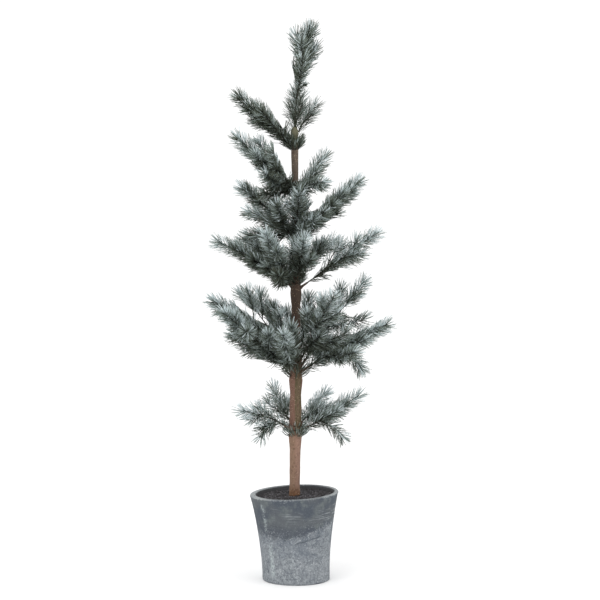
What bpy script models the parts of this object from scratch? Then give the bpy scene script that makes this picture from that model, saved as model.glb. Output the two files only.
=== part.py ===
"""An artificial potted fir with frosted needles, in a weathered pot.

A slightly bowed trunk stands in the pot's fill and carries six whorls of boughs and a leader. Every bough
grows by one seeded rule: a curving main stem, side twigs on alternate sides that bend forward, and on some
long boughs one twig that hangs. A bough's bare foot is its own piece. The twigs and needles past it are
fused into one mass, which keeps to its own space among the others.

Units are metres and +Z is up. The front faces -Y, and an azimuth runs from +X towards +Y, so -90 degrees is
the front. The origin is the centre of the pot's flat underside.
"""

import math
import random
from collections import namedtuple

import bmesh
import bpy
import numpy as np
from mathutils import Vector

GAP = 0.0003  # left between pieces that touch
MERGE = 0.000002  # vertices nearer than this are one
SMOOTH_ANGLE = 75  # edges sharper than this keep a crease

# The pot: straight-sided low down, flaring to a rolled rim, a little out of true
POT_HEIGHT = 0.142
POT_BASE_RADIUS = 0.0543
POT_RIM_RADIUS = 0.0713
POT_FLARE = 1.9  # how late the wall turns outwards
POT_WALL = 0.0085
POT_FLOOR = 0.010
POT_EDGE = 0.0025  # rounding of the rim and of the foot
EDGE_MIDDLE = 0.3 * POT_EDGE  # a rounded edge's middle point, in from the corner
POT_SIDES = 36
POT_LEAN = -0.0032  # sideways shift of the rim's centre
RIM_TILT = 0.045  # rise of the rim towards +X, per metre
TILT_FOOT = 0.100  # where the wall starts to follow the rim
WALL_STEPS = 6
INNER_STEPS = 4
FILL_TOP = 0.1370
FILL_CROWN = 0.0020  # the fill is highest round the trunk
FILL_STEPS = 3

# The trunk
TRUNK_FOOT = FILL_TOP + GAP
TRUNK_TOP = 0.715
TRUNK_X = -0.0025
TRUNK_BOW = 0.0022
TRUNK_SIDES = 12
TRUNK_RINGS = 36
# (height, radius): each whorl swells the trunk just below its boughs
TRUNK_RADII = (
    (0.137, 0.0087),
    (0.152, 0.0080),
    (0.210, 0.0083),
    (0.234, 0.0102),
    (0.265, 0.0090),
    (0.300, 0.0096),
    (0.324, 0.0120),
    (0.355, 0.0080),
    (0.400, 0.0064),
    (0.445, 0.0062),
    (0.464, 0.0084),
    (0.490, 0.0064),
    (0.540, 0.0068),
    (0.560, 0.0055),
    (0.615, 0.0062),
    (0.635, 0.0050),
    (0.690, 0.0058),
    (0.715, 0.0046),
)

# The growth rule
STEM_STEPS = 12
TWIG_STEPS = 6
FIRST_TWIG = 0.20  # share of the stem where side twigs begin
LAST_TWIG = 0.80
TWIG_PITCH = 0.026
PLACE_SPREAD = 0.04  # share of the stem by which a twig's place varies
TWIG_INSET = 0.05  # share of the stem between its mass's start and the first twig
TWIG_SHARE = 0.62  # a side twig's length against the stem left beyond it
REACH_SPREAD = (0.75, 1.2)
TWIG_SHORTEST = 0.018
TWIG_SPLAY = 44
SPLAY_SPREAD = 12
TWIG_LIFT = 28
TWIG_FORWARD = 0.40  # share of its splay that a twig loses as it bends forward
HANG_TURN = 10  # towards the front
HANG_PITCH = -12
HANG_DROOP = -50

# How the masses keep apart
LINE_SPACING = 0.003  # between the points that stand for a line
SKIN_STEP = 0.0001  # how closely the trunk's skin is found
TWIG_ROOM = 0.0070
LEAST_STEPS = 3  # a crowded twig is cut back, and left out when fewer steps than this remain
NEEDLE_ROOM = 0.0016  # how much nearer a needle's tip is to its own twigs than to another mass's
NEEDLE_TESTS = (0.3, 0.65, 1.0)  # shares of a needle's length where its room is tested
TRUNK_ROOM = 0.0015

# Limbs, cores and needles
LIMB_LENGTH = 0.014  # bare foot of a bough, outside the trunk
LIMB_RADIUS = 0.0022
LIMB_TIP_RADIUS = 0.0018
LIMB_SIDES = 5
WIRE_RADIUS = 0.0014
CORE_RADIUS = 0.0030
CORE_TIP_RADIUS = 0.0019
TWIG_THICKNESS = 0.85  # a side twig's core against its stem's
CORE_SWELL = 0.010  # length over which a stem swells from wire to core
RING_STEP = 0.0102
NEEDLE_CORE = 1.2 * WIRE_RADIUS  # the thinnest core that needles stand on
NEEDLE_LENGTH = 0.016
LENGTH_SPREAD = (0.85, 1.1)
NEEDLE_ANGLE = 41
ANGLE_SPREAD = 8
TIP_LENGTH = 0.0144  # a twig ends in one needle straight ahead
NEEDLE_SEED = 1000  # added to a bough's seed for its needles

# height on the trunk, azimuth, rise at its middle, length, how much the rise changes, how the side twigs'
# plane is rolled, seed, number of side twigs (None for one per TWIG_PITCH), where a hanging twig leaves, limb
Bough = namedtuple("Bough", "name height azimuth rise length curl roll seed twigs hang limb")

BOUGHS = (
    Bough("whorl1_left", 0.238, -150, 24, 0.110, -30, -60, 83, None, (0.38, 0.042), True),
    Bough("whorl1_back_left", 0.243, 115, 34, 0.105, 10, 0, 80, None, None, True),
    Bough("whorl1_right", 0.238, 8, 30, 0.120, 10, -15, 61, 5, (0.36, 0.049), True),
    Bough("whorl1_back_right", 0.243, 55, 30, 0.100, 0, -15, 14, 3, None, True),
    Bough("whorl2_left", 0.332, -161, 42, 0.190, -40, 75, 16, 4, None, True),
    Bough("whorl2_front_left", 0.334, -131, 34, 0.205, 0, -15, 30, None, None, True),
    Bough("whorl2_back_left", 0.334, 140, 46, 0.170, -20, -90, 50, 5, None, True),
    Bough("whorl2_front", 0.337, -98, 26, 0.135, 0, 90, 52, None, None, True),
    Bough("whorl2_right", 0.332, -15, 30, 0.175, -10, 0, 52, 5, (0.47, 0.053), True),
    Bough("whorl2_front_right", 0.336, -58, 50, 0.175, -10, -45, 70, None, None, True),
    Bough("whorl2_back_right", 0.334, 29, 48, 0.190, -10, 45, 1, None, None, True),
    Bough("whorl2_back", 0.337, 75, 56, 0.135, 10, 60, 66, 4, None, True),
    Bough("whorl3_left", 0.469, -160, 32, 0.155, -20, -15, 51, 2, None, True),
    Bough("whorl3_front_left", 0.472, -118, 44, 0.140, 20, -45, 9, 4, None, True),
    Bough("whorl3_back_left", 0.471, 145, 36, 0.125, -20, 15, 38, 5, None, True),
    Bough("whorl3_front", 0.476, -80, 48, 0.110, 0, -30, 32, None, None, True),
    Bough("whorl3_right", 0.468, -7, 36, 0.160, 0, -45, 24, 5, None, True),
    Bough("whorl3_back_right", 0.472, 55, 32, 0.130, -40, -30, 24, 4, None, True),
    Bough("whorl4_left", 0.546, -155, 44, 0.130, -20, 0, 64, 2, None, True),
    Bough("whorl4_back_left", 0.548, 135, 20, 0.115, -20, -45, 52, 3, None, False),
    Bough("whorl4_right", 0.545, 5, 44, 0.140, 0, 0, 37, 6, None, True),
    Bough("whorl4_front", 0.551, -85, 52, 0.100, 0, -30, 16, 3, None, False),
    Bough("whorl4_front_right", 0.549, -45, 38, 0.080, -10, 15, 29, 5, None, False),
    Bough("whorl4_back", 0.549, 80, 42, 0.095, 0, 15, 63, 3, None, False),
    Bough("whorl5_left", 0.616, -150, 44, 0.145, 0, -30, 64, 5, None, False),
    Bough("whorl5_front_left", 0.620, -110, 38, 0.130, 20, 60, 78, 2, None, False),
    Bough("whorl5_back_right", 0.620, 50, 38, 0.095, 0, -45, 8, 2, None, False),
    Bough("whorl5_front_right", 0.618, -50, 22, 0.075, -30, 0, 10, None, None, False),
    Bough("whorl5_back_left", 0.620, 130, 40, 0.085, 10, -75, 9, 2, None, False),
    Bough("whorl6_left", 0.691, -170, 44, 0.125, -10, -15, 36, 6, None, False),
    Bough("whorl6_right", 0.694, 25, 62, 0.080, -40, 15, 35, 3, None, False),
    Bough("whorl6_back", 0.696, 85, 70, 0.105, -10, -75, 26, 5, None, False),
    Bough("leader", 0.715, 10, 82, 0.175, -15, -30, 136, None, None, False),
)


def trunk_centre(height):
    """The trunk's bowed axis."""
    along = (height - TRUNK_FOOT) / (TRUNK_TOP - TRUNK_FOOT)
    bow = TRUNK_BOW * math.sin(math.pi * min(max(along, 0), 1))
    return Vector((TRUNK_X + bow, 0, height))


def trunk_radius(height):
    heights, radii = zip(*TRUNK_RADII)
    return float(np.interp(height, heights, radii))


def heading(azimuth, pitch):
    """The unit vector at an azimuth and a pitch, both in degrees."""
    turn, climb = math.radians(azimuth), math.radians(pitch)
    return Vector((math.cos(climb) * math.cos(turn), math.cos(climb) * math.sin(turn), math.sin(climb)))


def main_stem(bough):
    """The bough's main stem from the trunk's axis to its tip, as points and the directions between them."""
    points, directions = [trunk_centre(bough.height)], []
    for step in range(STEM_STEPS):
        along = (step + 0.5) / STEM_STEPS
        directions.append(heading(bough.azimuth, bough.rise + bough.curl * (along - 0.5)))
        points.append(points[-1] + directions[-1] * bough.length / STEM_STEPS)
    return points, directions


def point_along(points, share):
    """The point at this share of the stem, and the step that it is in."""
    step = min(int(share * STEM_STEPS), STEM_STEPS - 1)
    return points[step].lerp(points[step + 1], share * STEM_STEPS - step), step


def side_twigs(bough, points, directions, start):
    """Twigs on alternate sides of the stem past its start, shorter towards its tip and bending forward."""
    chance = random.Random(bough.seed)
    count = bough.twigs or max(2, round((LAST_TWIG - FIRST_TWIG) * bough.length / TWIG_PITCH) + 1)
    first_side = chance.choice((-1, 1))
    twigs = []
    for index in range(count):
        share = FIRST_TWIG + (LAST_TWIG - FIRST_TWIG) * index / (count - 1)
        share += chance.uniform(-PLACE_SPREAD, PLACE_SPREAD)
        share = max(share, start / bough.length + TWIG_INSET)
        side = first_side * (-1) ** index
        splay = TWIG_SPLAY + chance.uniform(-SPLAY_SPREAD, SPLAY_SPREAD)
        lift = math.radians(chance.uniform(-TWIG_LIFT, TWIG_LIFT))
        reach = TWIG_SHARE * (1 - share) * bough.length * chance.uniform(*REACH_SPREAD)
        if reach < TWIG_SHORTEST:
            continue
        root, step = point_along(points, share)
        ahead = directions[step]
        across = Vector((0, 0, 1)).cross(ahead).normalized()
        over = ahead.cross(across)
        roll = math.radians(bough.roll)
        across, over = (
            across * math.cos(roll) + over * math.sin(roll),
            over * math.cos(roll) - across * math.sin(roll),
        )
        outwards = across * math.cos(lift) * side + over * math.sin(lift)
        twig = [root]
        for twig_step in range(TWIG_STEPS):
            angle = math.radians(splay * (1 - TWIG_FORWARD * (twig_step + 0.5) / TWIG_STEPS))
            way = ahead * math.cos(angle) + outwards * math.sin(angle)
            twig.append(twig[-1] + way * reach / TWIG_STEPS)
        twigs.append(twig)
    return twigs


def hanging_twig(bough, points, start):
    """A twig that droops from under the stem, turned to the front."""
    share, reach = bough.hang
    towards_front = HANG_TURN if abs(bough.azimuth) > 90 else -HANG_TURN
    twig = [point_along(points, max(share, start / bough.length + TWIG_INSET))[0]]
    for step in range(TWIG_STEPS):
        droop = HANG_PITCH + HANG_DROOP * (step + 0.5) / TWIG_STEPS
        twig.append(twig[-1] + heading(bough.azimuth + towards_front, droop) * reach / TWIG_STEPS)
    return twig


def subdivided(points, spacing):
    """The same line with points no further apart than this."""
    line = []
    for start, end in zip(points, points[1:]):
        count = max(1, math.ceil((end - start).length / spacing))
        line += [start.lerp(end, index / count) for index in range(count)]
    return line + [points[-1]]


def cut_back(points, length):
    """The line without its first stretch of this length."""
    for index, (start, end) in enumerate(zip(points, points[1:])):
        step = (end - start).length
        if length < step:
            return [start.lerp(end, length / step)] + points[index + 1 :]
        length -= step
    return points[-1:]


def stem_start(bough, points):
    """How far along its stem a bough leaves the trunk's skin."""
    length = 0.0
    while True:
        here = points[0].lerp(points[1], length * STEM_STEPS / bough.length)
        radius = max(trunk_radius(here.z + shift) for shift in (-LIMB_RADIUS, 0, LIMB_RADIUS))
        centre = trunk_centre(here.z)
        if math.hypot(here.x - centre.x, here.y - centre.y) >= radius + GAP:
            return length
        length += SKIN_STEP


class Space:
    """The lines of every mass and limb, to keep each mass to its own space."""

    def __init__(self):
        self.points = np.zeros((0, 3))
        self.owners = np.zeros(0, int)

    def add(self, owner, line):
        new = np.array([point[:] for point in subdivided(line, LINE_SPACING)])
        self.points = np.vstack([self.points, new])
        self.owners = np.append(self.owners, np.full(len(new), owner))

    def distances(self, owner, point):
        """How near the point is to its own mass's lines and to everything else."""
        away = np.linalg.norm(self.points - np.array(point[:]), axis=1)
        own = self.owners == owner
        return away[own].min(), away[~own].min()


def trunk_clearance(point):
    centre = trunk_centre(point.z)
    if point.z > TRUNK_TOP:
        return (point - trunk_centre(TRUNK_TOP)).length - TRUNK_RADII[-1][1]
    return math.hypot(point.x - centre.x, point.y - centre.y) - trunk_radius(point.z)


def grow_masses():
    """Each bough's limb line and the lines of its mass, stem first, kept clear of the other masses."""
    space = Space()
    limbs, masses, starts = {}, {}, {}
    for owner, bough in enumerate(BOUGHS):
        points, _ = main_stem(bough)
        if bough.name == "leader":
            start = GAP
        else:
            start = stem_start(bough, points)
        if bough.limb:
            skin = cut_back(points, start)
            foot = cut_back(points, start + LIMB_LENGTH)
            limbs[bough.name] = skin[: len(skin) - len(foot) + 1] + [foot[0]]
            start += LIMB_LENGTH + GAP
            space.add(-1 - owner, limbs[bough.name])
        starts[bough.name] = start
        masses[bough.name] = [cut_back(points, start)]
        space.add(owner, masses[bough.name][0])
    for owner, bough in enumerate(BOUGHS):
        points, directions = main_stem(bough)
        twigs = side_twigs(bough, points, directions, starts[bough.name])
        if bough.hang:
            twigs.append(hanging_twig(bough, points, starts[bough.name]))
        for twig in twigs:
            free = 1
            for point in twig[1:]:
                crowded = space.distances(owner, point)[1] < TWIG_ROOM
                if crowded or trunk_clearance(point) < TWIG_ROOM:
                    break
                free += 1
            if free > LEAST_STEPS:
                masses[bough.name].append(twig[:free])
                space.add(owner, twig[:free])
    return space, limbs, masses


def material(name, colour, roughness):
    made = bpy.data.materials.new(name)
    made.use_nodes = True
    shader = made.node_tree.nodes["Principled BSDF"]
    shader.inputs["Base Color"].default_value = (*colour, 1)
    shader.inputs["Roughness"].default_value = roughness
    shader.inputs["Metallic"].default_value = 0
    made.diffuse_color = (*colour, 1)
    return made


def add_object(name, shape, finish):
    """A scene object from a bmesh, with its faces turned outwards."""
    bmesh.ops.recalc_face_normals(shape, faces=shape.faces)
    mesh = bpy.data.meshes.new(name)
    shape.to_mesh(mesh)
    shape.free()
    mesh.shade_smooth()
    mesh.set_sharp_from_angle(angle=math.radians(SMOOTH_ANGLE))
    mesh.materials.append(finish)
    made = bpy.data.objects.new(name, mesh)
    bpy.context.scene.collection.objects.link(made)
    return made


def ring(shape, centre, ahead, radius, sides, turn, cut):
    """A ring of vertices round a line. A cut slides them along it into the plane square to that vector."""
    across = Vector((0, 0, 1)).cross(ahead)
    if across.length < 0.01:
        across = Vector((1, 0, 0))
    across.normalize()
    over = ahead.cross(across)
    made = []
    for index in range(sides):
        angle = 2 * math.pi * (index + turn) / sides
        spot = centre + (across * math.cos(angle) + over * math.sin(angle)) * radius
        if cut:
            spot -= ahead * cut.dot(spot - centre) / cut.dot(ahead)
        made.append(shape.verts.new(spot))
    return made


def tube(name, line, radii, sides, cut, finish):
    """A tapering tube with flat ends along a line, its first end cut square to a vector."""
    shape = bmesh.new()
    rings = []
    for index, (point, radius) in enumerate(zip(line, radii)):
        ahead = (line[min(index + 1, len(line) - 1)] - line[max(index - 1, 0)]).normalized()
        rings.append(ring(shape, point, ahead, radius, sides, 0.0, None if index else cut))
    for low, high in zip(rings, rings[1:]):
        for index in range(sides):
            after = (index + 1) % sides
            shape.faces.new((low[index], low[after], high[after], high[index]))
    shape.faces.new(rings[0])
    shape.faces.new(rings[-1])
    return add_object(name, shape, finish)


def lathe(name, outline, shift, finish):
    """A turned piece from an outline of (radius, height) that starts and ends on the axis."""
    shape = bmesh.new()
    rows = []
    for radius, height in outline:
        if radius == 0:
            rows.append([shape.verts.new(shift(Vector((0, 0, height))))])
            continue
        turned = []
        for index in range(POT_SIDES):
            angle = 2 * math.pi * index / POT_SIDES
            spot = Vector((radius * math.cos(angle), radius * math.sin(angle), height))
            turned.append(shape.verts.new(shift(spot)))
        rows.append(turned)
    for low, high in zip(rows, rows[1:]):
        for index in range(POT_SIDES):
            after = (index + 1) % POT_SIDES
            corners = [low[index % len(low)], low[after % len(low)]]
            corners += [high[after % len(high)], high[index % len(high)]]
            shape.faces.new(tuple(dict.fromkeys(corners)))
    return add_object(name, shape, finish)


def pot_radius(height):
    """The outside of the wall, without its rounded edges."""
    return POT_BASE_RADIUS + (POT_RIM_RADIUS - POT_BASE_RADIUS) * (height / POT_HEIGHT) ** POT_FLARE


def out_of_true(spot):
    """Leans the pot sideways as it rises, and tilts its top."""
    tilted = max(0.0, spot.z - TILT_FOOT) / (POT_HEIGHT - TILT_FOOT)
    return Vector((spot.x + POT_LEAN * spot.z / POT_HEIGHT, spot.y, spot.z + RIM_TILT * spot.x * tilted))


def pot(finish):
    wall = POT_HEIGHT - 2 * POT_EDGE
    wall_heights = [POT_EDGE + wall * step / WALL_STEPS for step in range(WALL_STEPS + 1)]
    outline = [(0, 0), (POT_BASE_RADIUS - POT_EDGE, 0), (POT_BASE_RADIUS - EDGE_MIDDLE, EDGE_MIDDLE)]
    outline += [(pot_radius(height), height) for height in wall_heights]
    rim_out, rim_in = POT_RIM_RADIUS, POT_RIM_RADIUS - POT_WALL
    outline += [(rim_out - EDGE_MIDDLE, POT_HEIGHT - EDGE_MIDDLE), (rim_out - POT_EDGE, POT_HEIGHT)]
    outline += [(rim_in + POT_EDGE, POT_HEIGHT), (rim_in, POT_HEIGHT - POT_EDGE)]
    outline += [(pot_radius(height) - POT_WALL, height) for height in inner_heights()]
    outline += [(0, POT_FLOOR)]
    return lathe("pot", outline, out_of_true, finish)


def inner_heights():
    """Where the inner wall has its rings, from the fill's top edge down to the floor."""
    top = FILL_TOP - FILL_CROWN
    return [top + (POT_FLOOR - top) * step / INNER_STEPS for step in range(INNER_STEPS + 1)]


def fill(finish):
    heights = inner_heights()
    heights[-1] += GAP
    outline = [(0, heights[-1])]
    outline += [(pot_radius(height) - POT_WALL - 2 * GAP, height) for height in reversed(heights)]
    top_radius = outline[-1][0]
    for step in range(1, FILL_STEPS + 1):
        share = 1 - step / FILL_STEPS
        outline.append((top_radius * share, FILL_TOP - FILL_CROWN * share**2))
    return lathe("pot_fill", outline, out_of_true, finish)


def trunk(finish):
    step = (TRUNK_TOP - TRUNK_FOOT) / TRUNK_RINGS
    line = [trunk_centre(TRUNK_FOOT + index * step) for index in range(TRUNK_RINGS + 1)]
    radii = [trunk_radius(centre.z) for centre in line]
    return tube("trunk", line, radii, TRUNK_SIDES, Vector((0, 0, 1)), finish)


def needled_twig(name, line, radii, cut, keeps, chance, finish):
    """A three-sided core whose rings are staggered, with a needle drawn out of every second face.

    keeps says whether the mass has room for a needle from its root to its tip.
    """
    shape = bmesh.new()
    rings, ways = [], []
    for index, (point, radius) in enumerate(zip(line, radii)):
        ways.append((line[min(index + 1, len(line) - 1)] - line[max(index - 1, 0)]).normalized())
        turn = 0.5 * (index % 2)
        rings.append(ring(shape, point, ways[-1], radius, 3, turn, None if index else cut))
    tooth_faces = []
    for index, (low, high) in enumerate(zip(rings, rings[1:])):
        ahead_of = index % 2
        for corner in range(3):
            after = (corner + 1) % 3
            middle = high[(corner + ahead_of) % 3]
            face = shape.faces.new((low[corner], low[after], middle))
            tooth_faces.append((face, ways[index], radii[index]))
            shape.faces.new((low[after], high[(after + ahead_of) % 3], middle))
    shape.faces.new(rings[0])
    tip = shape.verts.new(line[-1] + ways[-1] * TIP_LENGTH)
    for corner in range(3):
        shape.faces.new((rings[-1][corner], rings[-1][(corner + 1) % 3], tip))
    bmesh.ops.recalc_face_normals(shape, faces=shape.faces)
    for face, ahead, radius in tooth_faces:
        out = (face.normal - ahead * face.normal.dot(ahead)).normalized()
        angle = math.radians(NEEDLE_ANGLE + chance.uniform(-ANGLE_SPREAD, ANGLE_SPREAD))
        length = NEEDLE_LENGTH * chance.uniform(*LENGTH_SPREAD)
        root = face.calc_center_median()
        tip = root + (ahead * math.cos(angle) + out * math.sin(angle)) * length
        if radius > NEEDLE_CORE and keeps(root, tip):
            poked = bmesh.ops.poke(shape, faces=[face])
            poked["verts"][0].co = tip
    return add_object(name, shape, finish)


def evenly(line, step):
    """The line's points again, a step apart, with its own end."""
    lengths = [(end - start).length for start, end in zip(line, line[1:])]
    total = sum(lengths)
    count = max(2, round(total / step))
    return [cut_back(line, total * index / count)[0] for index in range(count)] + [line[-1]]


def core_radii(line, thickness):
    """A core's radius at each point: it swells from the wire at its foot, then tapers to the tip."""
    travelled, total = [0.0], 0.0
    for start, end in zip(line, line[1:]):
        total += (end - start).length
        travelled.append(total)
    radii = []
    for length in travelled:
        core = (CORE_RADIUS + (CORE_TIP_RADIUS - CORE_RADIUS) * length / total) * thickness
        radii.append(WIRE_RADIUS + (core - WIRE_RADIUS) * min(1.0, length / CORE_SWELL))
    return radii


def largest_shell(mesh):
    """Keeps a mesh's largest shell, so no loose scrap and no sealed hollow is left."""
    shape = bmesh.new()
    shape.from_mesh(mesh)
    bmesh.ops.remove_doubles(shape, verts=shape.verts, dist=MERGE)
    left, shells = set(shape.verts), []
    while left:
        stack, shell = [left.pop()], set()
        while stack:
            vertex = stack.pop()
            shell.add(vertex)
            for edge in vertex.link_edges:
                other = edge.other_vert(vertex)
                if other in left:
                    left.remove(other)
                    stack.append(other)
        shells.append(shell)
    shells.sort(key=len)
    scrap = [vertex for shell in shells[:-1] for vertex in shell]
    bmesh.ops.delete(shape, geom=scrap, context="VERTS")
    shape.to_mesh(mesh)
    shape.free()


def foliage(owner, bough, lines, space, finish):
    """One mass: its stem and side twigs with their needles, joined by a union."""
    chance = random.Random(NEEDLE_SEED + bough.seed)

    def keeps(root, tip):
        for share in NEEDLE_TESTS:
            spot = root.lerp(tip, share)
            own, others = space.distances(owner, spot)
            if others - own < NEEDLE_ROOM * (2 - share) or trunk_clearance(spot) < TRUNK_ROOM:
                return False
        return True

    stem_line = evenly(lines[0], RING_STEP)
    if bough.limb:
        cut = (lines[0][1] - lines[0][0]).normalized()
    elif bough.name == "leader":
        cut = Vector((0, 0, 1))
    else:
        cut = heading(bough.azimuth, 0)
    radii = core_radii(stem_line, 1.0)
    stem = needled_twig("needles_" + bough.name, stem_line, radii, cut, keeps, chance, finish)
    twigs = bpy.data.collections.new("twigs")
    for line in lines[1:]:
        twig_line = evenly(line, RING_STEP)
        twig_radii = core_radii(twig_line, TWIG_THICKNESS)
        twig = needled_twig("twig", twig_line, twig_radii, None, keeps, chance, finish)
        bpy.context.scene.collection.objects.unlink(twig)
        twigs.objects.link(twig)
    if lines[1:]:
        join(stem, twigs)
    for twig in list(twigs.objects):
        bpy.data.objects.remove(twig)
    bpy.data.collections.remove(twigs)
    return stem


def join(stem, twigs):
    """Unites the twigs with the stem and applies it."""
    bpy.context.scene.collection.children.link(twigs)
    union = stem.modifiers.new("join", "BOOLEAN")
    union.operation = "UNION"
    union.operand_type = "COLLECTION"
    union.collection = twigs
    union.solver = "EXACT"
    bpy.context.view_layer.update()
    graph = bpy.context.evaluated_depsgraph_get()
    joined = bpy.data.meshes.new_from_object(stem.evaluated_get(graph), depsgraph=graph)
    stem.modifiers.clear()
    largest_shell(joined)
    stem.data = joined
    bpy.context.scene.collection.children.unlink(twigs)


def main():
    for old in list(bpy.data.objects):
        bpy.data.objects.remove(old)
    pot_grey = material("weathered_pot", (0.20, 0.21, 0.22), 0.9)
    fill_dark = material("dark_fill", (0.035, 0.035, 0.035), 1.0)
    bark = material("wrapped_bark", (0.20, 0.13, 0.10), 0.85)
    needles = material("frosted_needles", (0.12, 0.16, 0.15), 0.7)
    pot(pot_grey)
    fill(fill_dark)
    trunk(bark)
    space, limbs, masses = grow_masses()
    for owner, bough in enumerate(BOUGHS):
        if bough.limb:
            line = limbs[bough.name]
            radii = np.linspace(LIMB_RADIUS, LIMB_TIP_RADIUS, len(line))
            tube("bough_" + bough.name, line, radii, LIMB_SIDES, heading(bough.azimuth, 0), bark)
        foliage(owner, bough, masses[bough.name], space, needles)


main()
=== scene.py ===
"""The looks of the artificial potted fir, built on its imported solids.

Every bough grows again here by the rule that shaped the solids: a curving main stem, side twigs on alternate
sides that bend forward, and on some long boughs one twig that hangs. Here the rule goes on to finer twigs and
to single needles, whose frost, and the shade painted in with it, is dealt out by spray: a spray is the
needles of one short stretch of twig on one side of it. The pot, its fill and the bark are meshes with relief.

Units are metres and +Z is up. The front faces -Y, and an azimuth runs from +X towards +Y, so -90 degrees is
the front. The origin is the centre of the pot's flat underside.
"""

import math
import random
from collections import namedtuple
from itertools import combinations

import bpy
import numpy as np
from mathutils import Matrix, Vector, noise

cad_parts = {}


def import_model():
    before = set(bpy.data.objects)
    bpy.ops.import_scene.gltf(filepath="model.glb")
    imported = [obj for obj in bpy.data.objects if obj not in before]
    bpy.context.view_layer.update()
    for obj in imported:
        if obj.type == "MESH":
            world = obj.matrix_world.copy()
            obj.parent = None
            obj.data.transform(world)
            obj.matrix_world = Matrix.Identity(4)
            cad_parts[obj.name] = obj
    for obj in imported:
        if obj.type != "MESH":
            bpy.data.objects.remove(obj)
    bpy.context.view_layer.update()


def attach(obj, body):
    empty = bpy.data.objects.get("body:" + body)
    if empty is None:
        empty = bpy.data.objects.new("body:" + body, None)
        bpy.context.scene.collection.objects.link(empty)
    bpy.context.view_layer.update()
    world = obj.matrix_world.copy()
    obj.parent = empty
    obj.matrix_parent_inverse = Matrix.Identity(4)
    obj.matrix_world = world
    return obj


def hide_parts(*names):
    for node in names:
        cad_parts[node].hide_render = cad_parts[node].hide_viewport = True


GAP = 0.0003  # between the source's pieces that touch

# The camera
CAMERA_PLACE = (0.0062, -5.0, 1.06)
CAMERA_PITCH = 6.92  # degrees down
CAMERA_LENS = 189.42
CAMERA_SENSOR = 36
FLOOR_HALF = 60  # half the width of the studio floor

# The pot, as in the source
POT_HEIGHT = 0.142
POT_BASE_RADIUS = 0.0543
POT_RIM_RADIUS = 0.0713
POT_FLARE = 1.9
POT_WALL = 0.0085
POT_EDGE = 0.0025
POT_LEAN = -0.0032
RIM_TILT = 0.045
TILT_FOOT = 0.100
FILL_TOP = 0.1370
FILL_CROWN = 0.0020

# The pot's own to this script: its marks, its fine mesh and the fill's grains
OPENING_ASIDE = 0.0014  # how far the opening is to the right of the middle, so the rim is broader on the left
CHALK_RISE_FROM = 0.012  # to the right of here the pot's chalky zone reaches higher, by this much a metre
CHALK_RISE = 0.55
POT_SIDES = 288
WALL_ROWS = 100
INNER_ROWS = 20
EDGE_ROWS = 6
FILL_RINGS = 30
FILL_SIDES = 144
GRAINS = 1500
GRAIN_SIZES = (0.0007, 0.0022)

# The trunk, as in the source
TRUNK_FOOT = FILL_TOP + GAP
TRUNK_TOP = 0.715
TRUNK_X = -0.0025
TRUNK_BOW = 0.0022
TRUNK_RADII = (
    (0.137, 0.0087),
    (0.152, 0.0080),
    (0.210, 0.0083),
    (0.234, 0.0102),
    (0.265, 0.0090),
    (0.300, 0.0096),
    (0.324, 0.0120),
    (0.355, 0.0080),
    (0.400, 0.0064),
    (0.445, 0.0062),
    (0.464, 0.0084),
    (0.490, 0.0064),
    (0.540, 0.0068),
    (0.560, 0.0055),
    (0.615, 0.0062),
    (0.635, 0.0050),
    (0.690, 0.0058),
    (0.715, 0.0046),
)

# How finely the boughs' bare feet and the wires are made
LIMB_SIDES = 16
LIMB_SPACING = 0.0006
WIRE_SPACING = 0.004

# The trunk's bark and the tape round its top
TRUNK_SIDES = 72
TRUNK_RINGS = 560
TRUNK_SUNK = 0.004  # how far the visible trunk goes into the fill
# Where the wrapped trunk is thicker or thinner than the solid: heights, and the change of radius at each
WRAP = (
    (0.25, 0.28, 0.305, 0.335, 0.36, 0.45, 0.50),
    (0.0004, 0.0003, -0.0010, -0.0009, 0.0006, 0.0009, 0),
)
OLIVE_X = 0.0030  # the middle of the olive band up the trunk
TAPE_LOW = 0.702
TAPE_HIGH = 0.730
TAPE_TURNS = 5
TAPE_RINGS = 90
TAPE_SIDES = 40
KNOB_HEIGHT = 0.721  # where the tape is thickest
KNOB_REACH = 0.007

# The growth rule, as in the source
STEM_STEPS = 12
TWIG_STEPS = 6
FIRST_TWIG = 0.20
LAST_TWIG = 0.80
TWIG_PITCH = 0.026
PLACE_SPREAD = 0.04
TWIG_INSET = 0.05
TWIG_SHARE = 0.62
REACH_SPREAD = (0.75, 1.2)
TWIG_SHORTEST = 0.018
TWIG_SPLAY = 44
SPLAY_SPREAD = 12
TWIG_LIFT = 28
TWIG_FORWARD = 0.40
HANG_TURN = 10
HANG_PITCH = -12
HANG_DROOP = -50
LINE_SPACING = 0.003
SKIN_STEP = 0.0001
TWIG_ROOM = 0.0070
LEAST_STEPS = 3
LIMB_LENGTH = 0.014
LIMB_RADIUS = 0.0022

# The rule carried on to finer twigs
FINE_PITCH = 0.026
FINE_FIRST = 0.10
FINE_LAST = 0.86
FINE_SHARE = 0.42
FINE_SHORTEST = 0.014
FINE_LONGEST = 0.042
FINE_SPLAY = 30
FINE_ROOM = 0.0052
FINE_STEPS = 4
FINE_LEAST = 2
FINE_SEED = 2000  # added to a bough's seed
GOLDEN_TURN = 137.5

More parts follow.
